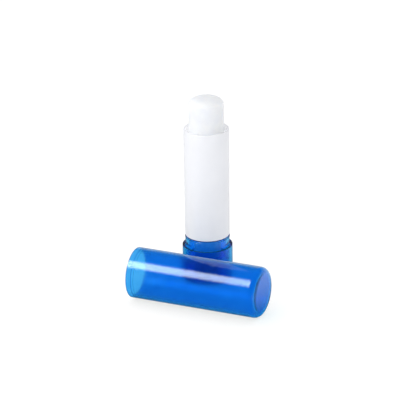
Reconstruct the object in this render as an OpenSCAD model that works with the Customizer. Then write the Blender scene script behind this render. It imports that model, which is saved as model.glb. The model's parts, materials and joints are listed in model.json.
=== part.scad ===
/* [Base] */
// Outside diameter of the base shell and the cap
base_od = 19.5; // [18:0.5:24]
// Height of the base shell, from the table to its rim
base_h = 14; // [13.5:0.5:20]
// Wall of the base shell
base_wall = 1.1; // [0.9:0.1:1.5]
// Thickness of the base shell's floor
base_floor = 1.4; // [1:0.1:2]
// Rounding of the base shell's bottom edge
base_edge = 1.2; // [0.4:0.1:1.6]

/* [Collar] */
// Height of the collar above the base shell's rim
collar_show = 3.9; // [3.4:0.1:7]
// Wall of the collar
collar_wall = 1.2; // [0.8:0.1:1.6]
// Thickness of the web that holds the barrel's neck down
web_t = 1.4; // [1:0.1:2]
// How far the snap ridge stands out of the collar
ridge_h = 0.3; // [0.2:0.05:0.4]

/* [Barrel] */
// Length of the white barrel, from its foot to its rim
barrel_len = 43.6; // [40:0.2:52]
// Wall of the barrel at its foot, where it is thinnest
barrel_wall = 0.6; // [0.5:0.1:0.9]
// How much the barrel's radius grows from foot to rim, as mould draft
barrel_draft = 0.2; // [0:0.05:0.3]
// Thickness of the barrel's floor
barrel_floor = 1.4; // [1:0.1:2]
// Wall of the neck that reaches down into the base
neck_wall = 1.6; // [1.3:0.1:1.8]
// How far the snap bead stands out of the neck
neck_bead = 0.45; // [0.3:0.05:0.6]
// Height of the snap bead on the neck
neck_bead_h = 1; // [0.8:0.1:1.4]
// Width of each guide rib in the bore
rib_w = 1; // [0.8:0.1:1.4]
// How far each guide rib stands out of the bore
rib_h = 0.55; // [0.4:0.05:0.7]
// Number of guide ribs
rib_count = 4; // [3:1:6]

/* [Screw] */
// Outside diameter of the spindle's thread
thread_od = 5.2; // [4.8:0.1:5.6]
// Depth of the thread
thread_depth = 0.7; // [0.6:0.05:0.9]
// Rise of the carrier for one turn of the barrel
lead = 4; // [3.8:0.1:5]
// Diameter of the smooth journal that turns in the neck
journal_d = 7; // [6.6:0.1:7.4]
// Thickness of the spindle's thrust flange
flange_t = 1.2; // [0.8:0.1:1.6]
// Distance across the flats of the spindle's six-sided foot
foot_af = 6.4; // [5.6:0.1:6.6]
// Height of the six-sided foot and of the socket that holds it
foot_h = 4.5; // [3.5:0.1:5]

/* [Carrier] */
// Wall of the carrier's cup
cup_wall = 0.9; // [0.8:0.1:1.1]
// Height of the carrier's cup
cup_h = 8; // [7:0.5:9]
// Thickness of the carrier's floor
cup_floor = 1.2; // [0.8:0.1:1.6]
// Height of the carrier's nut
nut_h = 6; // [5.4:0.2:6.6]
// Wall of the carrier's nut
nut_wall = 1.05; // [0.8:0.05:1.3]
// Height of each lug in the nut
lug_h = 1.3; // [1:0.1:1.4]
// Width of each lug in the nut
lug_w = 1.2; // [1:0.1:1.3]
// Distance from the barrel's rim to the carrier's cup when it is fully wound up
top_stop = 2.9; // [1:0.1:5]
// Length of the guide ribs still inside the cup when it is fully wound up
rib_reach = 3; // [2:0.1:5]

/* [Balm] */
// How far the balm has been wound up from its lowest place
extension = 13.2; // [0:0.1:20]
// How far the balm's top lies below the barrel's rim when it is wound down
balm_sink = 0.3; // [0.1:0.1:1]
// Height of the balm's domed top
dome_h = 2.9; // [1.5:0.1:4]

/* [Cap] */
// Free height above the barrel's rim inside the closed cap
cap_headroom = 3.9; // [3:0.1:6]
// Thickness of the cap's end
cap_end = 1.3; // [1:0.1:2]
// Rounding of the cap's closed end
cap_edge = 2.6; // [2:0.1:3]
// How far the snap bead stands into the cap's bore
bead_h = 0.12; // [0.08:0.01:0.14]
// How much the cap's mouth opens out
cap_flare = 0.15; // [0.05:0.01:0.15]
// Place of the lying cap's middle, to the left of the stick's axis
cap_left = 3.4; // [0:0.1:10]
// Place of the lying cap's middle, in front of the stick's axis
cap_front = 28.3; // [28:0.1:40]
// Turn of the lying cap, closed end towards the front
cap_yaw = 23.9; // [0:0.1:30]

/* [Clearances] */
// Radial gap between two round pieces that turn on each other
turn_gap = 0.1; // [0.06:0.01:0.1]
// Gap along the axis between faces that turn past each other
face_gap = 0.3; // [0.2:0.05:0.4]
// Radial gap round the carrier in the barrel's bore
slide_gap = 0.3; // [0.2:0.05:0.4]
// Gap on each side of a guide rib in its notch
notch_gap = 0.15; // [0.1:0.01:0.2]
// Radial gap between the nut and the thread
thread_gap = 0.15; // [0.1:0.01:0.2]
// Radial gap between the cap's bore and the barrel's rim
cap_gap = 0.15; // [0.15:0.01:0.25]
// Gap round pieces that are pressed together, such as the collar in the base shell
press_gap = 0.05; // [0.02:0.01:0.08]

/* [Hidden] */
$fn = 96;

BLUE = [0.04, 0.34, 0.86, 0.6];
WHITE = [0.93, 0.93, 0.95];
NATURAL = [0.88, 0.88, 0.86];
WAX = [0.95, 0.95, 0.99];

soft_edge = 0.3;       // small rounding of moulded edges
arc_steps = 8;         // straight steps in a quarter-round edge
dome_steps = 16;       // straight steps in the balm's domed top
bead_half = 0.5;       // half the height of the cap's snap bead
ridge_half = 0.3;      // half the height of the collar's snap ridge
thread_steps = 16;     // straight steps in one turn of the thread
crest_half = 55;       // half the angle that the thread's crest takes of a turn
foot_half = 85;        // half the angle that the thread's foot takes of a turn
overlap = 0.5;         // how far joined shapes of one piece run into each other

// Radii, worked inwards from the outside of the base
base_r = base_od / 2;
collar_r = base_r - base_wall - press_gap;
collar_in = collar_r - collar_wall;
barrel_r = collar_r;
rim_r = barrel_r + barrel_draft;
bore_r = barrel_r - barrel_wall;
rib_r = bore_r - rib_h;
cup_r = bore_r - slide_gap;
balm_r = cup_r - cup_wall;
cap_bore_r = rim_r + cap_gap;

// Radii, worked outwards from the spindle's axis
thread_r = thread_od / 2;
root_r = thread_r - thread_depth;
nut_bore_r = thread_r + thread_gap;
nut_r = nut_bore_r + nut_wall;
balm_bore_r = thread_r + slide_gap;
journal_r = journal_d / 2;
neck_bore_r = journal_r + turn_gap;
neck_r = neck_bore_r + neck_wall;
web_bore_r = neck_r + turn_gap;
flange_r = neck_r - face_gap;

// Heights, worked up from the table
flange_z = base_floor + foot_h;
neck_z = flange_z + flange_t + face_gap;
web_z = neck_z + neck_bead_h + face_gap;
collar_top = base_h + collar_show;
barrel_z = collar_top + face_gap;
bore_z = barrel_z + barrel_floor;
barrel_top = barrel_z + barrel_len;
carrier_low = bore_z + face_gap;
carrier_high = barrel_top - top_stop - cup_h;
carrier_z = carrier_low + extension;
rib_top = carrier_high + rib_reach;
thread_z = bore_z - overlap;
spindle_top = carrier_high + nut_h;
balm_z = carrier_z + cup_floor;
balm_top = barrel_top - balm_sink + extension;
balm_bore_top = spindle_top + face_gap + extension;

// The cap's snap bead lies just under the collar's ridge when the cap is closed on the base shell
ridge_z = collar_top - soft_edge - ridge_half - press_gap;
bead_z = ridge_z - ridge_half - bead_half - press_gap - base_h;
cap_len = barrel_top - base_h + cap_headroom + cap_end;
cap_inner_edge = cap_edge - (base_r - cap_bore_r);

// Points of an arc with radii rx and ry about [x, y], from angle a to angle b
function arc(x, y, rx, ry, a, b, steps = arc_steps) =
    [for (i = [0:steps]) let (t = a + (b - a) * i / steps) [x + rx * cos(t), y + ry * sin(t)]];

// Turn of the thread's crest at height z
function crest_turn(z) = 360 * (z - thread_z) / lead;

// Radius of the thread's outline at an angle from the middle of its crest, up to 180 degrees
function thread_radius(t) =
    t <= crest_half ? thread_r
    : t >= foot_half ? root_r
    : thread_r - thread_depth * (t - crest_half) / (foot_half - crest_half);

// Outer cup of the base, with the six-sided socket that keys the spindle
module base_shell() {
    color(BLUE)
    difference() {
        union() {
            rotate_extrude() polygon(concat(
                [[0, 0]],
                arc(base_r - base_edge, base_edge, base_edge, base_edge, -90, 0),
                arc(base_r - soft_edge, base_h - soft_edge, soft_edge, soft_edge, 0, 90),
                [[base_r - base_wall + soft_edge, base_h],
                 [base_r - base_wall, base_h - soft_edge],
                 [base_r - base_wall, base_floor],
                 [0, base_floor]]
            ));
            translate([0, 0, base_floor - overlap])
                cylinder(h = foot_h + overlap, r = flange_r);
        }
        translate([0, 0, base_floor])
            six_sided(foot_af + 2 * press_gap, foot_h + overlap);
    }
}

// Six-sided bar, by its distance across the flats
module six_sided(across_flats, height) {
    cylinder(h = height, d = across_flats / cos(30), $fn = 6);
}

// Sleeve pressed into the base shell, with a web that holds the barrel's neck down
module collar() {
    color(BLUE)
    rotate_extrude() polygon(concat(
        [[collar_in, base_floor], [collar_r, base_floor]],
        arc(collar_r, ridge_z, ridge_h, ridge_half, -90, 90),
        arc(collar_r - soft_edge, collar_top - soft_edge, soft_edge, soft_edge, 0, 90),
        [[collar_in, collar_top],
         [collar_in, web_z + web_t],
         [web_bore_r, web_z + web_t],
         [web_bore_r, web_z],
         [collar_in, web_z]]
    ));
}

// Screw that stands in the base and lifts the carrier
module spindle() {
    thread_len = spindle_top - thread_z;
    turns = thread_len / lead;
    color(NATURAL)
    union() {
        translate([0, 0, base_floor])
            six_sided(foot_af, foot_h + overlap);
        translate([0, 0, flange_z])
            cylinder(h = flange_t, r = flange_r);
        translate([0, 0, flange_z + flange_t - overlap])
            cylinder(h = bore_z - flange_z - flange_t + overlap, r = journal_r);
        translate([0, 0, thread_z])
            linear_extrude(height = thread_len, twist = -360 * turns,
                           slices = ceil(turns * thread_steps), $fn = thread_steps)
                polygon([for (i = [0:thread_steps - 1]) let (t = 360 * i / thread_steps)
                    thread_radius(t > 180 ? 360 - t : t) * [cos(t), sin(t)]]);
    }
}

// White tube with ribs in its bore, which turn the carrier with it
module barrel() {
    color(WHITE)
    union() {
        rotate_extrude() polygon(concat(
            [[neck_bore_r, neck_z]],
            arc(neck_r, neck_z + neck_bead_h / 2, neck_bead, neck_bead_h / 2, -90, 90),
            [[neck_r, barrel_z]],
            arc(barrel_r - soft_edge, barrel_z + soft_edge, soft_edge, soft_edge, -90, 0),
            arc(rim_r - soft_edge, barrel_top - soft_edge, soft_edge, soft_edge, 0, 90),
            [[bore_r + soft_edge, barrel_top],
             [bore_r, barrel_top - 2 * soft_edge],
             [bore_r, bore_z],
             [neck_bore_r, bore_z]]
        ));
        around_ribs()
            translate([rib_r, -rib_w / 2, bore_z - overlap])
                cube([rib_h + barrel_wall / 2, rib_w, rib_top - bore_z + overlap]);
    }
}

// One copy of its child for each guide rib
module around_ribs() {
    for (i = [0:rib_count - 1])
        rotate(360 / rib_count * i)
            children();
}

// Cup that holds the balm's foot, with a nut whose two lugs ride in the thread
module carrier() {
    color(WHITE)
    union() {
        difference() {
            rotate_extrude() polygon([
                [nut_bore_r, carrier_z],
                [cup_r, carrier_z],
                [cup_r, carrier_z + cup_h],
                [balm_r, carrier_z + cup_h],
                [balm_r, balm_z],
                [nut_r, balm_z],
                [nut_r, carrier_z + nut_h],
                [nut_bore_r, carrier_z + nut_h]
            ]);
            around_ribs()
                translate([rib_r - notch_gap, -rib_w / 2 - notch_gap, carrier_z - overlap])
                    cube([rib_h + notch_gap, rib_w + 2 * notch_gap, cup_h + 2 * overlap]);
        }
        for (side = [-1, 1])
            lug(carrier_z + nut_h / 2 + side * lead / 4);
    }
}

// One lug, centred on the groove of the thread at height z
module lug(z) {
    tip_r = root_r + thread_gap;
    rotate(crest_turn(z) + 180)
        translate([tip_r, -lug_w / 2, z - lug_h / 2])
            cube([nut_bore_r + nut_wall / 2 - tip_r, lug_w, lug_h]);
}

// Stick of wax, cast round the nut, with a blind hole that clears the spindle
module balm() {
    color(WAX)
    rotate_extrude() polygon(concat(
        [[nut_r, balm_z], [balm_r, balm_z]],
        arc(0, balm_top - dome_h, balm_r, dome_h, 0, 90, dome_steps),
        [[0, balm_bore_top],
         [balm_bore_r, balm_bore_top],
         [balm_bore_r, carrier_z + nut_h],
         [nut_r, carrier_z + nut_h]]
    ));
}

// Cap taken off and lying on the table, its closed end to the right and front
module cap() {
    color(BLUE)
    translate([-cap_left, -cap_front, base_r])
    rotate([0, 0, -cap_yaw])
    rotate([0, 90, 0])
    translate([0, 0, -cap_len / 2])
    rotate_extrude() polygon(concat(
        arc(base_r - soft_edge, soft_edge, soft_edge, soft_edge, -90, 0),
        arc(base_r - cap_edge, cap_len - cap_edge, cap_edge, cap_edge, 0, 90),
        [[0, cap_len], [0, cap_len - cap_end]],
        arc(cap_bore_r - cap_inner_edge, cap_len - cap_end - cap_inner_edge,
            cap_inner_edge, cap_inner_edge, 90, 0),
        arc(cap_bore_r, bead_z, -bead_h, bead_half, 90, -90),
        [[cap_bore_r, bead_z - 2 * bead_half], [cap_bore_r + cap_flare, 0]]
    ));
}

base_shell();
collar();
spindle();
barrel();
carrier();
balm();
cap();
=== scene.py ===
"""Lip balm stick, shown open: a white tube in a clear blue base, with its balm wound up.

Its clear blue cap lies in front of it. Lengths are in metres, +Z is up, and -Y faces the viewer."""
import json
import math
import bpy
from mathutils import Matrix, Vector

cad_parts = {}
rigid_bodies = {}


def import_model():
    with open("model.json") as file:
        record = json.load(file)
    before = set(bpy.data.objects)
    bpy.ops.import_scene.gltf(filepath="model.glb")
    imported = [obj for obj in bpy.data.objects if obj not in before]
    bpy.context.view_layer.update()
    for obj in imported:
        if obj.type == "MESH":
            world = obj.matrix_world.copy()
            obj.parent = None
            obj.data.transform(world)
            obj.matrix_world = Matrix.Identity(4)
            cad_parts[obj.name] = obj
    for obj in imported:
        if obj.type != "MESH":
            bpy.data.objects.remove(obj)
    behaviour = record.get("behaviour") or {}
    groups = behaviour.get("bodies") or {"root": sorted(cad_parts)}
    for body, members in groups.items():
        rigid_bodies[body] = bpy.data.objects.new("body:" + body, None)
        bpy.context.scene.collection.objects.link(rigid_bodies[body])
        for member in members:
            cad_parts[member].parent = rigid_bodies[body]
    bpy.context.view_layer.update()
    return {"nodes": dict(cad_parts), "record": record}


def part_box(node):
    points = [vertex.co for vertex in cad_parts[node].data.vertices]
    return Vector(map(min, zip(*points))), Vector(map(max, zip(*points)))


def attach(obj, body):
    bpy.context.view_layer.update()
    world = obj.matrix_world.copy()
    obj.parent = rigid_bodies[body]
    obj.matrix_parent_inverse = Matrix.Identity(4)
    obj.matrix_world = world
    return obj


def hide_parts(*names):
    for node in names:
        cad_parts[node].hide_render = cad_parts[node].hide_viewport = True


bpy.ops.object.select_all(action="SELECT")
bpy.ops.object.delete()
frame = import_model()

MM = 0.001

# Sizes that the frame gives
base_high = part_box("base_shell")[1]
collar_low, collar_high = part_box("collar")
barrel_low, barrel_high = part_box("barrel")
balm_low, balm_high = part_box("balm")
cap_mount = next(mount for mount in frame["record"]["mounts"] if mount["name"] == "cap_bore")

# Walls, gaps and rounded edges of the real mouldings
BASE_WALL = 1.1 * MM
BASE_EDGE = 1.2 * MM           # rounding of the base's outer foot
FOOT_RING = 2.2 * MM           # width of the ring that the base stands on
FOOT_RISE = 0.3 * MM           # how far the underside is sunk inside that ring
SOCKET_ACROSS = 6.5 * MM       # six-sided socket, across its flats
SOCKET_WALL_R = 4.9 * MM
SOCKET_H = 4.5 * MM
COLLAR_WALL = 1.2 * MM
PRESS_GAP = 0.05 * MM
RIDGE_H = 0.15 * MM            # how far the collar's snap ridge stands out
WEB_HOLE_R = 5.3 * MM
WEB_T = 1.4 * MM
WEB_DROP = 7.8 * MM            # from the collar's top down to the web's upper face
BARREL_WALL = 0.6 * MM         # at the barrel's foot
BARREL_DRAFT = 0.2 * MM        # how much wider in radius the barrel's rim is than its foot
FLOOR_T = 1.4 * MM             # floor of the barrel
NECK_HOLE_R = 3.6 * MM
NECK_R = 5.2 * MM
NECK_BEAD = 0.45 * MM          # how far the neck's bead stands out
NECK_BEAD_H = 1.0 * MM
FACE_GAP = 0.3 * MM            # between the collar's top and the barrel's foot
RIB_W = 1.0 * MM
RIB_H = 0.55 * MM
RIB_COUNT = 4
RIB_DROP = 7.9 * MM            # from the barrel's rim down to the top of its ribs
DOME_H = 2.9 * MM
DOME_POLE = 0.02               # radius of the small disc that closes the dome, as a share of the balm's
NUT_R = 3.8 * MM
NUT_H = 4.8 * MM               # how far the nut reaches into the balm
SCREW_HOLE_R = 2.9 * MM
SCREW_HOLE_DROP = 4.3 * MM     # from the balm's top down to the top of its hole
POUR_WAVE = 5 * MM             # distance between the swellings of poured wax
POUR_RISE = 0.03 * MM          # how far they rise and sink in all
POUR_LEVEL = 0.6               # share of that height at which the wax's face is level
CAP_WALL = 0.8 * MM
CAP_END = 1.3 * MM
CAP_EDGE = 2.6 * MM            # rounding of the cap's closed end
CAP_FLARE = 0.15 * MM          # how much wider in radius the bore is at its mouth
FLARE_H = 1.4 * MM
CAP_BEAD = 0.15 * MM           # how far the snap bead stands in from the bore
CAP_BEAD_H = 1.2 * MM
CAP_BEAD_Z = 2.4 * MM          # from the cap's mouth to the middle of its snap bead
SOFT_EDGE = 0.3 * MM           # small rounding of a moulded edge
RIM_EDGE = SOFT_EDGE / 3       # finer rounding of an open rim
GATE_R = 0.8 * MM              # mark that the moulding's inlet leaves
GATE_DEEP = 0.15 * MM

SIDES = 144                    # straight sides round a turned piece
BALM_STEPS = 48                # rings up the balm's side
DOME_STEPS = 20                # rings over its dome
SMOOTH = math.radians(32)      # sharper edges than this keep their crease
NEAR = 0.01 * MM               # how close a corner lies to the ring it belongs to


def select_only(piece):
    """Makes a piece the only one selected and the active one."""
    bpy.ops.object.select_all(action="DESELECT")
    piece.select_set(True)
    bpy.context.view_layer.objects.active = piece


def turned(name, outline, hollow=False):
    """A round piece: a disc, or an open ring if it is hollow, pushed on along the corners of its outline."""
    bpy.ops.object.select_all(action="DESELECT")
    radius, height = outline[0]
    bpy.ops.mesh.primitive_circle_add(
        vertices=SIDES, radius=radius, location=(0, 0, height), fill_type="NOTHING" if hollow else "NGON")
    piece = bpy.context.object
    piece.name = piece.data.name = name
    bpy.ops.object.mode_set(mode="EDIT")
    bpy.ops.mesh.select_mode(type="EDGE" if hollow else "FACE")
    bpy.ops.mesh.select_all(action="SELECT")
    for next_radius, next_height in outline[1:] + outline[:1] * hollow:
        bpy.ops.mesh.extrude_region_move(TRANSFORM_OT_translate={"value": (0, 0, next_height - height)})
        grow = next_radius / radius
        bpy.ops.transform.resize(value=(grow, grow, 1), center_override=(0, 0, 0))
        radius, height = next_radius, next_height
    bpy.ops.mesh.select_all(action="SELECT")
    bpy.ops.mesh.remove_doubles(threshold=NEAR / 10)
    bpy.ops.mesh.normals_make_consistent(inside=False)
    bpy.ops.object.mode_set(mode="OBJECT")
    bpy.ops.object.transform_apply(location=True)
    return piece


def round_rings(piece, rings):
    """Rounds each edge ring, given as (radius, height, width of the rounding, steps)."""
    for radius, height, width, steps in rings:
        vertices = piece.data.vertices
        on_ring = [
            abs(math.hypot(v.co.x, v.co.y) - radius) < NEAR and abs(v.co.z - height) < NEAR for v in vertices]
        bpy.ops.object.mode_set(mode="EDIT")
        bpy.ops.mesh.select_mode(type="EDGE")
        bpy.ops.mesh.select_all(action="DESELECT")
        bpy.ops.object.mode_set(mode="OBJECT")
        for edge in piece.data.edges:
            edge.select = on_ring[edge.vertices[0]] and on_ring[edge.vertices[1]]
        bpy.ops.object.mode_set(mode="EDIT")
        bpy.ops.mesh.bevel(offset=width, segments=steps, affect="EDGES")
        bpy.ops.object.mode_set(mode="OBJECT")


def cut_or_join(piece, tool, operation):
    """Cuts the tool's shape out of a piece, or joins it on, and clears the tool away."""
    modifier = piece.modifiers.new(operation.title(), "BOOLEAN")
    modifier.operation = operation
    modifier.object = tool
    bpy.context.view_layer.objects.active = piece
    bpy.ops.object.modifier_apply(modifier=modifier.name)
    bpy.data.objects.remove(tool)


def finish_surface(piece):
    """Smooth shading whose broad faces stay true beside their small rounded edges."""
    select_only(piece)
    bpy.ops.object.shade_smooth_by_angle(angle=SMOOTH)
    weighted = piece.modifiers.new("Weighted", "WEIGHTED_NORMAL")
    weighted.keep_sharp = True
    bpy.ops.object.modifier_apply(modifier=weighted.name)


def make_base():
    """Cup of the base: a standing ring underneath, and a boss inside with the screw's six-sided socket."""
    outer, top = base_high.x, base_high.z
    inner = outer - BASE_WALL
    floor = collar_low.z
    ring_r = outer - BASE_EDGE - FOOT_RING
    boss_top = floor + SOCKET_H
    piece = turned("blue_base", [
        (GATE_R, FOOT_RISE + GATE_DEEP), (GATE_R + GATE_DEEP, FOOT_RISE), (ring_r - FOOT_RISE, FOOT_RISE),
        (ring_r, 0), (outer, 0), (outer, top), (inner, top), (inner, floor),
        (SOCKET_WALL_R, floor), (SOCKET_WALL_R, boss_top)])
    round_rings(piece, [
        (outer, 0, BASE_EDGE, 10), (outer, top, RIM_EDGE, 4), (inner, top, RIM_EDGE, 4),
        (inner, floor, SOFT_EDGE, 4), (SOCKET_WALL_R, boss_top, SOFT_EDGE, 4)])
    bpy.ops.object.select_all(action="DESELECT")
    corner_r = SOCKET_ACROSS / 2 / math.cos(math.pi / 6)
    bpy.ops.mesh.primitive_cylinder_add(
        vertices=6, radius=corner_r, depth=2 * SOCKET_H, location=(0, 0, floor + SOCKET_H))
    cut_or_join(piece, bpy.context.object, "DIFFERENCE")
    return piece


def make_collar():
    """Sleeve pressed into the base: the cap's snap ridge outside, and inside the web that holds the neck."""
    outer = barrel_high.x - BARREL_DRAFT
    inner = outer - COLLAR_WALL
    foot, top = collar_low.z, collar_high.z
    web_top = top - WEB_DROP
    web_foot = web_top - WEB_T
    ridge = top - SOFT_EDGE - RIDGE_H - PRESS_GAP
    piece = turned("blue_collar", [
        (inner, foot), (outer, foot), (outer, ridge - RIDGE_H), (outer + RIDGE_H, ridge),
        (outer, ridge + RIDGE_H), (outer, top), (inner, top), (inner, web_top), (WEB_HOLE_R, web_top),
        (WEB_HOLE_R, web_foot), (inner, web_foot)], hollow=True)
    round_rings(piece, [
        (outer + RIDGE_H, ridge, RIDGE_H / 4, 4), (outer, top, RIM_EDGE, 4), (inner, top, RIM_EDGE, 4),
        (inner, web_top, SOFT_EDGE, 4), (inner, web_foot, SOFT_EDGE, 4)])
    return piece


def make_barrel():
    """White tube with its open rim, the neck that turns in the collar, and four guide ribs in its bore."""
    rim_r, top = barrel_high.x, barrel_high.z
    foot_r = rim_r - BARREL_DRAFT
    bore = foot_r - BARREL_WALL
    neck_foot = barrel_low.z
    foot = collar_high.z + FACE_GAP
    floor = foot + FLOOR_T
    bead = neck_foot + NECK_BEAD_H / 2
    piece = turned("white_barrel", [
        (NECK_HOLE_R, neck_foot), (NECK_R, neck_foot), (NECK_R + NECK_BEAD, bead),
        (NECK_R, neck_foot + NECK_BEAD_H), (NECK_R, foot), (foot_r, foot), (rim_r, top),
        (bore, top), (bore, floor), (NECK_HOLE_R, floor)], hollow=True)
    round_rings(piece, [
        (NECK_R + NECK_BEAD, bead, NECK_BEAD / 2, 6), (foot_r, foot, SOFT_EDGE, 6),
        (rim_r, top, SOFT_EDGE, 8), (bore, top, SOFT_EDGE, 6), (bore, floor, SOFT_EDGE, 4)])
    ribs = []
    rib_foot = floor - FLOOR_T / 2
    rib_top = top - RIB_DROP
    for number in range(RIB_COUNT):
        bpy.ops.object.select_all(action="DESELECT")
        angle = 2 * math.pi * number / RIB_COUNT
        around = Matrix.Rotation(angle, 4, "Z")
        middle = around @ Vector((bore - RIB_H / 2 + BARREL_WALL / 4, 0, (rib_foot + rib_top) / 2))
        bpy.ops.mesh.primitive_cube_add(
            size=1, location=middle, rotation=(0, 0, angle),
            scale=(RIB_H + BARREL_WALL / 2, RIB_W, rib_top - rib_foot))
        ribs.append(bpy.context.object)
    for rib in ribs:
        cut_or_join(piece, rib, "UNION")
    return piece


def make_balm():
    """Cast stick of wax: a domed top, a face that is faintly uneven, and the hole that clears the screw."""
    side = balm_high.x
    foot, top = balm_low.z, balm_high.z
    dome_foot = top - DOME_H
    hole_top = top - SCREW_HOLE_DROP
    nut_top = foot + NUT_H
    outline = [(SCREW_HOLE_R, hole_top), (SCREW_HOLE_R, nut_top), (NUT_R, nut_top), (NUT_R, foot)]
    outline += [(side, foot + (dome_foot - foot) * i / BALM_STEPS) for i in range(BALM_STEPS + 1)]
    for i in range(1, DOME_STEPS):
        angle = math.pi / 2 * i / DOME_STEPS
        outline.append((side * math.cos(angle), dome_foot + DOME_H * math.sin(angle)))
    outline.append((side * DOME_POLE, top))
    piece = turned("wax_balm", outline)
    uneven = bpy.data.textures.new("Poured wax", "CLOUDS")
    uneven.noise_scale = POUR_WAVE
    wavy = piece.modifiers.new("Poured", "DISPLACE")
    wavy.texture = uneven
    wavy.strength = POUR_RISE
    wavy.mid_level = POUR_LEVEL
    bpy.context.view_layer.objects.active = piece
    bpy.ops.object.modifier_apply(modifier=wavy.name)
    return piece


def make_cap():
    """Cap with a rounded closed end, a flared mouth and a snap bead near it, put where the cap lies."""
    to_end = -Vector(cap_mount["axis"]).normalized()
    along = [to_end.dot(v.co) for v in frame["nodes"]["cap"].data.vertices]
    length = max(along) - min(along)
    outer = base_high.x
    bore = outer - CAP_WALL
    inner_end = length - CAP_END
    bead_low = CAP_BEAD_Z - CAP_BEAD_H / 2
    bead_high = CAP_BEAD_Z + CAP_BEAD_H / 2
    piece = turned("blue_cap", [
        (outer, length), (outer, 0), (bore + CAP_FLARE, 0), (bore, FLARE_H), (bore, bead_low),
        (bore - CAP_BEAD, bead_low + CAP_BEAD), (bore - CAP_BEAD, bead_high - CAP_BEAD), (bore, bead_high),
        (bore, inner_end)])
    round_rings(piece, [
        (outer, length, CAP_EDGE, 16), (outer, 0, RIM_EDGE, 4), (bore, inner_end, CAP_EDGE - CAP_WALL, 14)])
    mount = Vector(cap_mount["pos_m"])
    mouth = mount + to_end * (min(along) - to_end.dot(mount))
    tilt = Vector((0, 0, 1)).rotation_difference(to_end)
    piece.matrix_world = Matrix.Translation(mouth) @ tilt.to_matrix().to_4x4()
    select_only(piece)
    bpy.ops.object.transform_apply(location=True, rotation=True)
    return piece, mouth, tilt.to_euler()


def hex_colour(code):
    """Linear colour of an sRGB hex code."""
    channels = [int(code[i:i + 2], 16) / 255 for i in (0, 2, 4)]
    return [c / 12.92 if c <= 0.04045 else ((c + 0.055) / 1.055) ** 2.4 for c in channels] + [1]


def add_node(tree, kind, settings=(), links=()):
    """Adds a node, sets its properties and inputs, and links other nodes' outputs to its inputs.

    An input is given by its name or, where names repeat, by its number: on a Mix node 0 is the factor,
    2 and 3 are the plain values, and 6 and 7 are the colours."""
    node = tree.nodes.new(kind)
    for name, value in dict(settings).items():
        if isinstance(name, str) and name in node.bl_rna.properties:
            setattr(node, name, value)
        else:
            node.inputs[name].default_value = value
    for name, output in dict(links).items():
        tree.links.new(output, node.inputs[name])
    return node


def new_material(name):
    """An empty node material, with its tree and output."""
    material = bpy.data.materials.new(name)
    material.use_nodes = True
    tree = material.node_tree
    tree.nodes.clear()
    return material, tree, add_node(tree, "ShaderNodeOutputMaterial")


WHITE = (1, 1, 1, 1)
FLOW_LINES = 4 * MM                    # distance between the flow lines of the clear plastic's melt
WALL_STEP = 0.1 * MM                   # on both sides of a wall's middle, where inner finish turns to outer
DYE_COLOUR = (0.0, 0.826, 0.949, 1)    # the blue dye takes out red most and blue least
OUTER_TINT = (0.95, 0.74, 0.7, 1)      # warm, to hold back the blue of the soft light that comes through
VEIL_CODE = "D0C6C0"                   # pale scatter of the outer face in soft light


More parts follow.
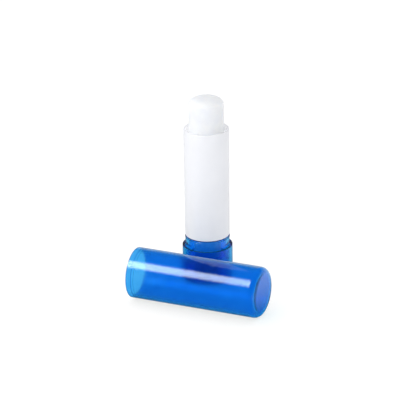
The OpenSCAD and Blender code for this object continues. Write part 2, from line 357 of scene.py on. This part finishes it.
def clear_blue(
        name, code, pale_code, dye, polish_r, matt_r, glow_code, middle_r, start=(0, 0, 0), tilt=(0, 0, 0)):
    """Blue-tinted clear polystyrene, injection moulded: it shows what is behind it, bluer where it is thick.

    Outside it is polished. Inside, nearer the axis than middle_r, it is matt from the mould's core, which
    blurs what shows through. The axis runs from start, turned by tilt from upright."""
    material, tree, output = new_material(name)
    place = add_node(tree, "ShaderNodeTexCoord")
    lie = add_node(tree, "ShaderNodeMapping", {"vector_type": "TEXTURE", "Location": start, "Rotation": tilt},
                   {"Vector": place.outputs["Object"]})
    across = add_node(tree, "ShaderNodeVectorMath", {"operation": "MULTIPLY", 1: (1, 1, 0)},
                      {0: lie.outputs["Vector"]})
    from_axis = add_node(tree, "ShaderNodeVectorMath", {"operation": "LENGTH"}, {0: across.outputs["Vector"]})
    outside = add_node(tree, "ShaderNodeMapRange",
                       {"From Min": middle_r - WALL_STEP, "From Max": middle_r + WALL_STEP},
                       {"Value": from_axis.outputs["Value"]})
    finish = add_node(tree, "ShaderNodeMapRange", {"To Min": matt_r, "To Max": polish_r},
                      {"Value": outside.outputs["Result"]})
    # Flow lines of the melt change the tint, the polish and the height of the face very slightly
    flow = add_node(tree, "ShaderNodeTexNoise", {"Scale": 1 / FLOW_LINES, "Detail": 3, "Roughness": 0.45},
                    {"Vector": lie.outputs["Vector"]})
    tint = add_node(tree, "ShaderNodeValToRGB", links={"Fac": flow.outputs["Fac"]})
    tint.color_ramp.elements[0].position = 0.3
    tint.color_ramp.elements[0].color = hex_colour(code)
    tint.color_ramp.elements[1].position = 0.7
    tint.color_ramp.elements[1].color = hex_colour(pale_code)
    smear = add_node(tree, "ShaderNodeMapRange",
                     {"From Min": 0.3, "From Max": 0.7, "To Min": 0.9, "To Max": 1.1},
                     {"Value": flow.outputs["Fac"]})
    polish = add_node(tree, "ShaderNodeMath", {"operation": "MULTIPLY"},
                      {0: finish.outputs["Result"], 1: smear.outputs["Result"]})
    ripple = add_node(tree, "ShaderNodeBump", {"Strength": 0.01, "Distance": 0.005 * MM},
                      {"Height": flow.outputs["Fac"]})
    # Polystyrene's own IOR is 1.59: 1.4 is matched to the faint reflections of the object
    plastic = add_node(tree, "ShaderNodeBsdfPrincipled",
                       {"IOR": 1.4, "Transmission Weight": 1.0},
                       {"Base Color": tint.outputs["Color"], "Roughness": polish.outputs["Value"],
                        "Normal": ripple.outputs["Normal"]})
    # Soft light goes straight through: glow_code tints it at the inner face and OUTER_TINT at the outer one.
    # Half of what meets the outer face from outside is scattered by a pale veil instead.
    let_in = add_node(tree, "ShaderNodeMix", {"data_type": "RGBA", 6: hex_colour(glow_code), 7: OUTER_TINT},
                      {0: outside.outputs["Result"]})
    open_way = add_node(tree, "ShaderNodeBsdfTransparent", links={"Color": let_in.outputs[2]})
    face = add_node(tree, "ShaderNodeNewGeometry")
    entering = add_node(tree, "ShaderNodeMath", {"operation": "SUBTRACT", 0: 0.5},
                        {1: face.outputs["Backfacing"]})
    half_outside = add_node(tree, "ShaderNodeMath", {"operation": "MULTIPLY", "use_clamp": True},
                            {0: outside.outputs["Result"], 1: entering.outputs["Value"]})
    veil = add_node(tree, "ShaderNodeBsdfDiffuse", {"Color": hex_colour(VEIL_CODE)})
    pale = add_node(tree, "ShaderNodeMixShader",
                    links={"Fac": half_outside.outputs["Value"], 1: open_way.outputs["BSDF"],
                           2: veil.outputs["BSDF"]})
    ray = add_node(tree, "ShaderNodeLightPath")
    soft = add_node(tree, "ShaderNodeMixShader",
                    links={"Fac": ray.outputs["Is Diffuse Ray"], 1: plastic.outputs["BSDF"],
                           2: pale.outputs["Shader"]})
    # Light from the lamps takes the plastic's colour in two halves, one at each face of a wall
    each_face = [channel ** 0.5 for channel in hex_colour(code)]
    lamp_way = add_node(tree, "ShaderNodeBsdfTransparent", {"Color": each_face})
    lamps = add_node(tree, "ShaderNodeMixShader",
                     links={"Fac": ray.outputs["Is Shadow Ray"], 1: soft.outputs["Shader"],
                            2: lamp_way.outputs["BSDF"]})
    depth = add_node(tree, "ShaderNodeVolumeAbsorption", {"Density": dye, "Color": DYE_COLOUR})
    tree.links.new(lamps.outputs["Shader"], output.inputs["Surface"])
    tree.links.new(depth.outputs["Volume"], output.inputs["Volume"])
    return material


THIN_WALL = 0.9                # share of the soft light that a thin white wall lets through
MOULD_GRAIN = 0.25 * MM        # of the mould's skin: really about 0.05 mm, drawn coarser so that it shows


def white_polypropylene(name, code, shade_code, roughness, inner_r=0, inner_z=0):
    """White polypropylene, injection moulded: a satin skin with a very fine grain and a soft even white.

    The bore, inside inner_r and above inner_z, glows with the light that comes through the wall."""
    material, tree, output = new_material(name)
    place = add_node(tree, "ShaderNodeTexCoord")
    # Faint clouds in the white, about 9 mm apart
    cloud = add_node(tree, "ShaderNodeTexNoise", {"Scale": 1 / (9 * MM), "Detail": 2},
                     {"Vector": place.outputs["Object"]})
    tint = add_node(tree, "ShaderNodeValToRGB", links={"Fac": cloud.outputs["Fac"]})
    tint.color_ramp.elements[0].position = 0.3
    tint.color_ramp.elements[0].color = hex_colour(shade_code)
    tint.color_ramp.elements[1].position = 0.7
    tint.color_ramp.elements[1].color = hex_colour(code)
    grain = add_node(tree, "ShaderNodeTexNoise", {"Scale": 1 / MOULD_GRAIN, "Detail": 1},
                     {"Vector": place.outputs["Object"]})
    sheen = add_node(tree, "ShaderNodeMapRange",
                     {"From Min": 0.3, "From Max": 0.7,
                      "To Min": roughness - 0.04, "To Max": roughness + 0.04},
                     {"Value": grain.outputs["Fac"]})
    skin = add_node(tree, "ShaderNodeBump", {"Strength": 0.15, "Distance": 0.01 * MM},
                    {"Height": grain.outputs["Fac"]})
    across = add_node(tree, "ShaderNodeVectorMath", {"operation": "MULTIPLY", 1: (1, 1, 0)},
                      {0: place.outputs["Object"]})
    from_axis = add_node(tree, "ShaderNodeVectorMath", {"operation": "LENGTH"}, {0: across.outputs["Vector"]})
    in_bore = add_node(tree, "ShaderNodeMapRange",
                       {"From Min": inner_r + 0.1 * MM, "From Max": inner_r + 0.3 * MM,
                        "To Min": 1.0, "To Max": 0.0},
                       {"Value": from_axis.outputs["Value"]})
    height = add_node(tree, "ShaderNodeSeparateXYZ", links={0: place.outputs["Object"]})
    above_floor = add_node(tree, "ShaderNodeMapRange", {"From Min": inner_z, "From Max": inner_z + 1 * MM},
                           {"Value": height.outputs["Z"]})
    bore = add_node(tree, "ShaderNodeMath", {"operation": "MULTIPLY"},
                    {0: in_bore.outputs["Result"], 1: above_floor.outputs["Result"]})
    through = add_node(tree, "ShaderNodeMapRange", {"To Min": 0.4, "To Max": 1.0},
                       {"Value": bore.outputs["Value"]})
    reach = add_node(tree, "ShaderNodeMapRange", {"To Min": 1.5 * MM, "To Max": 8 * MM},
                     {"Value": bore.outputs["Value"]})
    plastic = add_node(tree, "ShaderNodeBsdfPrincipled",
                       {"IOR": 1.49, "Subsurface Radius": (1, 1, 1)},
                       {"Base Color": tint.outputs["Color"], "Roughness": sheen.outputs["Result"],
                        "Normal": skin.outputs["Normal"], "Subsurface Weight": through.outputs["Result"],
                        "Subsurface Scale": reach.outputs["Result"]})
    # Soft light mostly goes on through the thin wall, so the gap between barrel and balm stays light
    open_way = add_node(tree, "ShaderNodeBsdfTransparent")
    thin = add_node(tree, "ShaderNodeMixShader", {"Fac": THIN_WALL},
                    {1: plastic.outputs["BSDF"], 2: open_way.outputs["BSDF"]})
    ray = add_node(tree, "ShaderNodeLightPath")
    lit_through = add_node(tree, "ShaderNodeMixShader",
                           links={"Fac": ray.outputs["Is Diffuse Ray"], 1: plastic.outputs["BSDF"],
                                  2: thin.outputs["Shader"]})
    tree.links.new(lit_through.outputs["Shader"], output.inputs["Surface"])
    return material


def balm_wax(name):
    """Cast beeswax balm: milky and slightly see-through, with a soft, faintly mottled shine."""
    material, tree, output = new_material(name)
    place = add_node(tree, "ShaderNodeTexCoord")
    # Mottling about 3 mm apart, and pores about 0.6 mm apart
    cloud = add_node(tree, "ShaderNodeTexNoise", {"Scale": 1 / (3 * MM), "Detail": 4, "Roughness": 0.55},
                     {"Vector": place.outputs["Object"]})
    tint = add_node(tree, "ShaderNodeValToRGB", links={"Fac": cloud.outputs["Fac"]})
    tint.color_ramp.elements[0].position = 0.3
    tint.color_ramp.elements[0].color = hex_colour("EDEFFA")
    tint.color_ramp.elements[1].position = 0.7
    tint.color_ramp.elements[1].color = hex_colour("F2F4FC")
    bloom = add_node(tree, "ShaderNodeMapRange",
                     {"From Min": 0.3, "From Max": 0.7, "To Min": 0.38, "To Max": 0.52},
                     {"Value": cloud.outputs["Fac"]})
    pores = add_node(tree, "ShaderNodeTexNoise", {"Scale": 1 / (0.6 * MM), "Detail": 2},
                     {"Vector": place.outputs["Object"]})
    skin = add_node(tree, "ShaderNodeBump", {"Strength": 0.2, "Distance": 0.02 * MM},
                    {"Height": pores.outputs["Fac"]})
    wax = add_node(tree, "ShaderNodeBsdfPrincipled",
                   {"IOR": 1.44, "Subsurface Weight": 1.0, "Subsurface Radius": (1.0, 0.95, 0.9),
                    "Subsurface Scale": 4.0 * MM},
                   {"Base Color": tint.outputs["Color"], "Roughness": bloom.outputs["Result"],
                    "Normal": skin.outputs["Normal"]})
    tree.links.new(wax.outputs["BSDF"], output.inputs["Surface"])
    return material


TABLE_GLOW = 0.69                      # the table's own light, where it is seen or shows through the plastic
TABLE_BOUNCE = 0.62                    # the same where it lights the pieces
TABLE_SHEEN = 0.42                     # the same where the pieces mirror it, behind them
CAP_FRONT = (-0.405, -0.914, 0)        # level way square to the cap's axis, towards the viewer
MIRROR_FADE = 25 * MM                  # over this length, up to the stick's axis, the mirrored table darkens
END_NEAR, END_FAR = 24 * MM, 48 * MM   # where on the right the mirrored table grows bright, for the cap's end
END_SHEEN = 1.1
CONTACT_SHADOW = 18 * MM               # how far the soft shadow reaches
SEEN_THROUGH = 30 * MM                 # half the width over which the table's glow is painted brighter to the right, behind the plastic


def white_table(name):
    """Matt white acrylic table: it holds the object's soft shadow and otherwise shows as plain white."""
    material, tree, output = new_material(name)
    place = add_node(tree, "ShaderNodeTexCoord")
    # Very faint clouds of grey, about 125 mm apart
    cloud = add_node(tree, "ShaderNodeTexNoise", {"Scale": 8.0, "Detail": 2},
                     {"Vector": place.outputs["Object"]})
    tint = add_node(tree, "ShaderNodeValToRGB", links={"Fac": cloud.outputs["Fac"]})
    tint.color_ramp.elements[0].color = hex_colour("A6A7A8")
    tint.color_ramp.elements[1].color = hex_colour("ACADAE")
    matt = add_node(tree, "ShaderNodeBsdfDiffuse", links={"Color": tint.outputs["Color"]})
    ray = add_node(tree, "ShaderNodeLightPath")
    aside = add_node(tree, "ShaderNodeSeparateXYZ", links={0: place.outputs["Object"]})
    # The camera sees its own light dimmed close to the pieces. Behind clear pieces its glow is painted
    # brighter to the right.
    level = add_node(tree, "ShaderNodeMapRange", {"To Min": TABLE_GLOW, "To Max": TABLE_BOUNCE},
                     {"Value": ray.outputs["Is Diffuse Ray"]})
    open_sky = add_node(tree, "ShaderNodeAmbientOcclusion", {"Distance": CONTACT_SHADOW})
    shaded = add_node(tree, "ShaderNodeMapRange", {"To Min": 0.8, "To Max": 1.0},
                      {"Value": open_sky.outputs["AO"]})
    painted_right_glow = add_node(tree, "ShaderNodeMapRange",
                              {"From Min": -SEEN_THROUGH, "From Max": SEEN_THROUGH,
                               "To Min": 0.97, "To Max": 1.03},
                              {"Value": aside.outputs["X"]})
    dim = add_node(tree, "ShaderNodeMix", {"data_type": "FLOAT", 2: 1.0},
                   {0: ray.outputs["Is Camera Ray"], 3: shaded.outputs["Result"]})
    dim_through = add_node(tree, "ShaderNodeMix", {"data_type": "FLOAT"},
                           {0: ray.outputs["Is Transmission Ray"], 2: dim.outputs[0],
                            3: painted_right_glow.outputs["Result"]})
    shaded_level = add_node(tree, "ShaderNodeMath", {"operation": "MULTIPLY"},
                            {0: level.outputs["Result"], 1: dim_through.outputs[0]})
    glow = add_node(tree, "ShaderNodeEmission", {"Color": WHITE}, {"Strength": shaded_level.outputs["Value"]})
    both = add_node(tree, "ShaderNodeAddShader", links={0: matt.outputs["BSDF"], 1: glow.outputs["Emission"]})
    # Painted reflection: what the pieces mirror of it is set by place, pale behind them and to the right,
    # dark in front
    forward = add_node(tree, "ShaderNodeVectorMath", {"operation": "DOT_PRODUCT", 1: CAP_FRONT},
                       {0: place.outputs["Object"]})
    sheen = add_node(tree, "ShaderNodeMapRange",
                     {"From Min": -MIRROR_FADE, "From Max": 0,
                      "To Min": TABLE_SHEEN, "To Max": TABLE_SHEEN / 16},
                     {"Value": forward.outputs["Value"]})
    beside = add_node(tree, "ShaderNodeMapRange",
                      {"From Min": END_NEAR, "From Max": END_FAR, "To Max": END_SHEEN},
                      {"Value": aside.outputs["X"]})
    brightest = add_node(tree, "ShaderNodeMath", {"operation": "MAXIMUM"},
                         {0: sheen.outputs["Result"], 1: beside.outputs["Result"]})
    gleam = add_node(tree, "ShaderNodeEmission", {"Color": WHITE}, {"Strength": brightest.outputs["Value"]})
    mirrored = add_node(tree, "ShaderNodeMath", {"operation": "SUBTRACT", "use_clamp": True},
                        {0: ray.outputs["Is Glossy Ray"], 1: ray.outputs["Is Transmission Ray"]})
    kinds = add_node(tree, "ShaderNodeMixShader",
                     links={"Fac": mirrored.outputs["Value"], 1: both.outputs["Shader"],
                            2: gleam.outputs["Emission"]})
    tree.links.new(kinds.outputs["Shader"], output.inputs["Surface"])
    return material


# Pieces, each on its body and with its material
base = make_base()
collar = make_collar()
barrel = make_barrel()
balm = make_balm()
cap, cap_mouth, cap_tilt = make_cap()
collar_r = barrel_high.x - BARREL_DRAFT

white = white_polypropylene(
    "White moulded polypropylene", "F1F2F6", "EEEFF3", 0.38,
    inner_r=collar_r - BARREL_WALL, inner_z=collar_high.z + FACE_GAP + FLOOR_T)
blue_base = clear_blue(
    "Clear blue polystyrene, base", "56BEF0", "61C4F4", dye=600, polish_r=0.12, matt_r=0.16,
    glow_code="FFFFFF", middle_r=base_high.x - BASE_WALL / 2)
blue_collar = clear_blue(
    "Clear blue polystyrene, collar", "6CC9FC", "76CEFF", dye=300, polish_r=0.12, matt_r=0.16,
    glow_code="38A0FF", middle_r=collar_r - COLLAR_WALL / 2)
blue_cap = clear_blue(
    "Clear blue polystyrene, cap", "46A8EE", "50B0F2", dye=400, polish_r=0.08, matt_r=0.24,
    glow_code="FFFFFF", middle_r=base_high.x - CAP_WALL / 2, start=cap_mouth, tilt=cap_tilt)
dressed = [
    (base, "base_shell", "base", "blue_shell", blue_base),
    (collar, "collar", "base", "blue_collar", blue_collar),
    (barrel, "barrel", "barrel", "white_barrel", white),
    (balm, "balm", "carrier", "wax", balm_wax("Cast balm wax")),
    (cap, "cap", "cap", "blue_cap", blue_cap),
]
for piece, node, body, slot, material in dressed:
    finish_surface(piece)
    piece.data.materials.clear()
    piece.data.materials.append(material)
    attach(piece, body)
    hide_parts(node)

# The solids that keep their own shape
frame["nodes"]["spindle"].material_slots[0].material = white_polypropylene(
    "Natural moulded polyethylene", "E2E4E2", "DDDFDC", 0.45)
frame["nodes"]["carrier"].material_slots[0].material = white_polypropylene(
    "White moulded polypropylene, carrier", "EEF0F4", "EAECF0", 0.42)

# Table, a hair below the object's foot
TABLE_WIDE = 4
TABLE_DROP = 0.05 * MM
bpy.ops.object.select_all(action="DESELECT")
bpy.ops.mesh.primitive_plane_add(size=TABLE_WIDE, location=(0, 0, -TABLE_DROP))
floor = bpy.context.object
floor.name = "table"
floor.data.materials.append(white_table("Matt white table"))

# Camera: a long lens nearly a metre away, as the photograph's lines give it
CAMERA_PITCH = math.radians(21.75)
CAMERA_ROLL = math.radians(-0.7)
CAMERA_DISTANCE = 956.7 * MM
CAMERA_AIM = Vector((-2.74, 0, 32.2)) * MM
LENS = 222.4                           # in millimetres, as is the sensor
SENSOR_WIDE = 36
turn = Matrix.Rotation(math.pi / 2 - CAMERA_PITCH, 4, "X") @ Matrix.Rotation(CAMERA_ROLL, 4, "Z")
back = turn @ Vector((0, 0, 1))
bpy.ops.object.camera_add()
camera = bpy.context.object
camera.matrix_world = Matrix.Translation(CAMERA_AIM + back * CAMERA_DISTANCE) @ turn
camera.data.lens = LENS
camera.data.sensor_width = SENSOR_WIDE
camera.data.clip_start = 0.05
bpy.context.scene.camera = camera

LAMP_AIM = Vector((0, -0.01, 0.025))   # the point between stick and cap that the lamps face


def softbox(name, direction, long_way, distance, wide, long, radiance, far_side=1.0, soft=0.01, through=1.0):
    """A flat soft lamp that faces the object from a direction, with its long side along long_way.

    It fades to far_side of its light from one long side to the other, and to nothing at both ends, each over
    the share soft of its length. Seen after a ray has entered a clear piece, it has the share through."""
    toward = Vector(direction).normalized()
    side = Vector(long_way).cross(toward).normalized()
    up = toward.cross(side)
    bpy.ops.object.light_add(type="AREA")
    lamp = bpy.context.object
    lamp.name = name
    lamp.data.shape = "RECTANGLE"
    lamp.data.size = wide
    lamp.data.size_y = long
    lamp.data.energy = radiance * math.pi * wide * long
    lamp.data.use_nodes = True
    tree = lamp.data.node_tree
    across = add_node(tree, "ShaderNodeNewGeometry")
    sides = add_node(tree, "ShaderNodeSeparateXYZ", links={0: across.outputs["Parametric"]})
    fade = add_node(tree, "ShaderNodeMapRange", {"To Min": 1.0, "To Max": far_side},
                    {"Value": sides.outputs["X"]})
    from_middle = add_node(tree, "ShaderNodeMath", {"operation": "SUBTRACT", 1: 0.5},
                           {0: sides.outputs["Y"]})
    either_way = add_node(tree, "ShaderNodeMath", {"operation": "ABSOLUTE"},
                          {0: from_middle.outputs["Value"]})
    soft_end = add_node(tree, "ShaderNodeMapRange",
                        {"interpolation_type": "SMOOTHSTEP", "From Min": 0.5 - soft, "From Max": 0.5,
                         "To Min": 1.0, "To Max": 0.0},
                        {"Value": either_way.outputs["Value"]})
    shape = add_node(tree, "ShaderNodeMath", {"operation": "MULTIPLY"},
                     {0: fade.outputs["Result"], 1: soft_end.outputs["Result"]})
    ray = add_node(tree, "ShaderNodeLightPath")
    seen_through = add_node(tree, "ShaderNodeMapRange", {"To Min": 1.0, "To Max": through},
                            {"Value": ray.outputs["Transmission Depth"]})
    level = add_node(tree, "ShaderNodeMath", {"operation": "MULTIPLY"},
                     {0: shape.outputs["Value"], 1: seen_through.outputs["Result"]})
    tree.links.new(level.outputs["Value"], tree.nodes["Emission"].inputs["Strength"])
    turned_to_aim = Matrix((side, up, toward)).transposed().to_4x4()
    lamp.matrix_world = Matrix.Translation(LAMP_AIM + toward * distance) @ turned_to_aim
    return lamp


# The strip gives the long highlight on the cap and the key gives the stick its bright left side
strip = softbox(
    "Strip softbox", direction=(-0.564, -0.345, 0.764), long_way=(0.36, 0.815, 0.453), distance=0.6,
    wide=0.18, long=0.46, radiance=24.5, far_side=0.5, soft=0.38, through=0.35)
strip.data.color = hex_colour("EEFBFF")[:3]
strip.visible_diffuse = False
key = softbox(
    "Key softbox", direction=(-0.8, -0.65, 0.4), long_way=(0, 0, 1), distance=0.7,
    wide=0.5, long=0.5, radiance=1.2)
key.visible_glossy = False

# White studio: each kind of ray finds its own light all round, and the camera finds plain white
SOFT_LIGHT_WAY = (-0.24, -0.1, 0.46)   # the soft light grows this way, mostly upwards and to the left
world = bpy.data.worlds.new("White studio")
bpy.context.scene.world = world
world.use_nodes = True
tree = world.node_tree
tree.nodes.clear()
direction = add_node(tree, "ShaderNodeTexCoord")
parts = add_node(tree, "ShaderNodeSeparateXYZ", links={0: direction.outputs["Generated"]})
# Mirrored: a low white wall behind the object, and dark above and in front
behind = add_node(tree, "ShaderNodeMapRange",
                  {"From Min": -0.5, "From Max": 0.4, "To Min": 0.03, "To Max": 0.9},
                  {"Value": parts.outputs["Y"]})
low = add_node(tree, "ShaderNodeMapRange",
               {"From Min": 0.1, "From Max": 0.5, "To Min": 1.0, "To Max": 0.04},
               {"Value": parts.outputs["Z"]})
wall = add_node(tree, "ShaderNodeMath", {"operation": "MULTIPLY"},
                {0: behind.outputs["Result"], 1: low.outputs["Result"]})
# Seen through the clear pieces: bright behind them
through = add_node(tree, "ShaderNodeMapRange",
                   {"From Min": -0.3, "From Max": 0.5, "To Min": 0.1, "To Max": 1.0},
                   {"Value": parts.outputs["Y"]})
# Soft light, which falls on every piece
brighter_side = add_node(tree, "ShaderNodeVectorMath", {"operation": "DOT_PRODUCT", 1: SOFT_LIGHT_WAY},
                         {0: direction.outputs["Generated"]})
above = add_node(tree, "ShaderNodeMapRange",
                 {"From Min": -0.3, "From Max": 0.5, "To Min": 0.5, "To Max": 1.06},
                 {"Value": brighter_side.outputs["Value"]})
ray = add_node(tree, "ShaderNodeLightPath")
unlit = add_node(tree, "ShaderNodeMix", {"data_type": "FLOAT"},
                 {0: ray.outputs["Is Transmission Ray"], 2: wall.outputs["Value"],
                  3: through.outputs["Result"]})
lighting = add_node(tree, "ShaderNodeMix", {"data_type": "FLOAT"},
                    {0: ray.outputs["Is Diffuse Ray"], 2: unlit.outputs[0], 3: above.outputs["Result"]})
level = add_node(tree, "ShaderNodeMix", {"data_type": "FLOAT", 3: 1.0},
                 {0: ray.outputs["Is Camera Ray"], 2: lighting.outputs[0]})
sky = add_node(tree, "ShaderNodeBackground", {"Color": WHITE}, {"Strength": level.outputs[0]})
add_node(tree, "ShaderNodeOutputWorld", links={"Surface": sky.outputs["Background"]})

bpy.context.scene.view_settings.view_transform = "Standard"
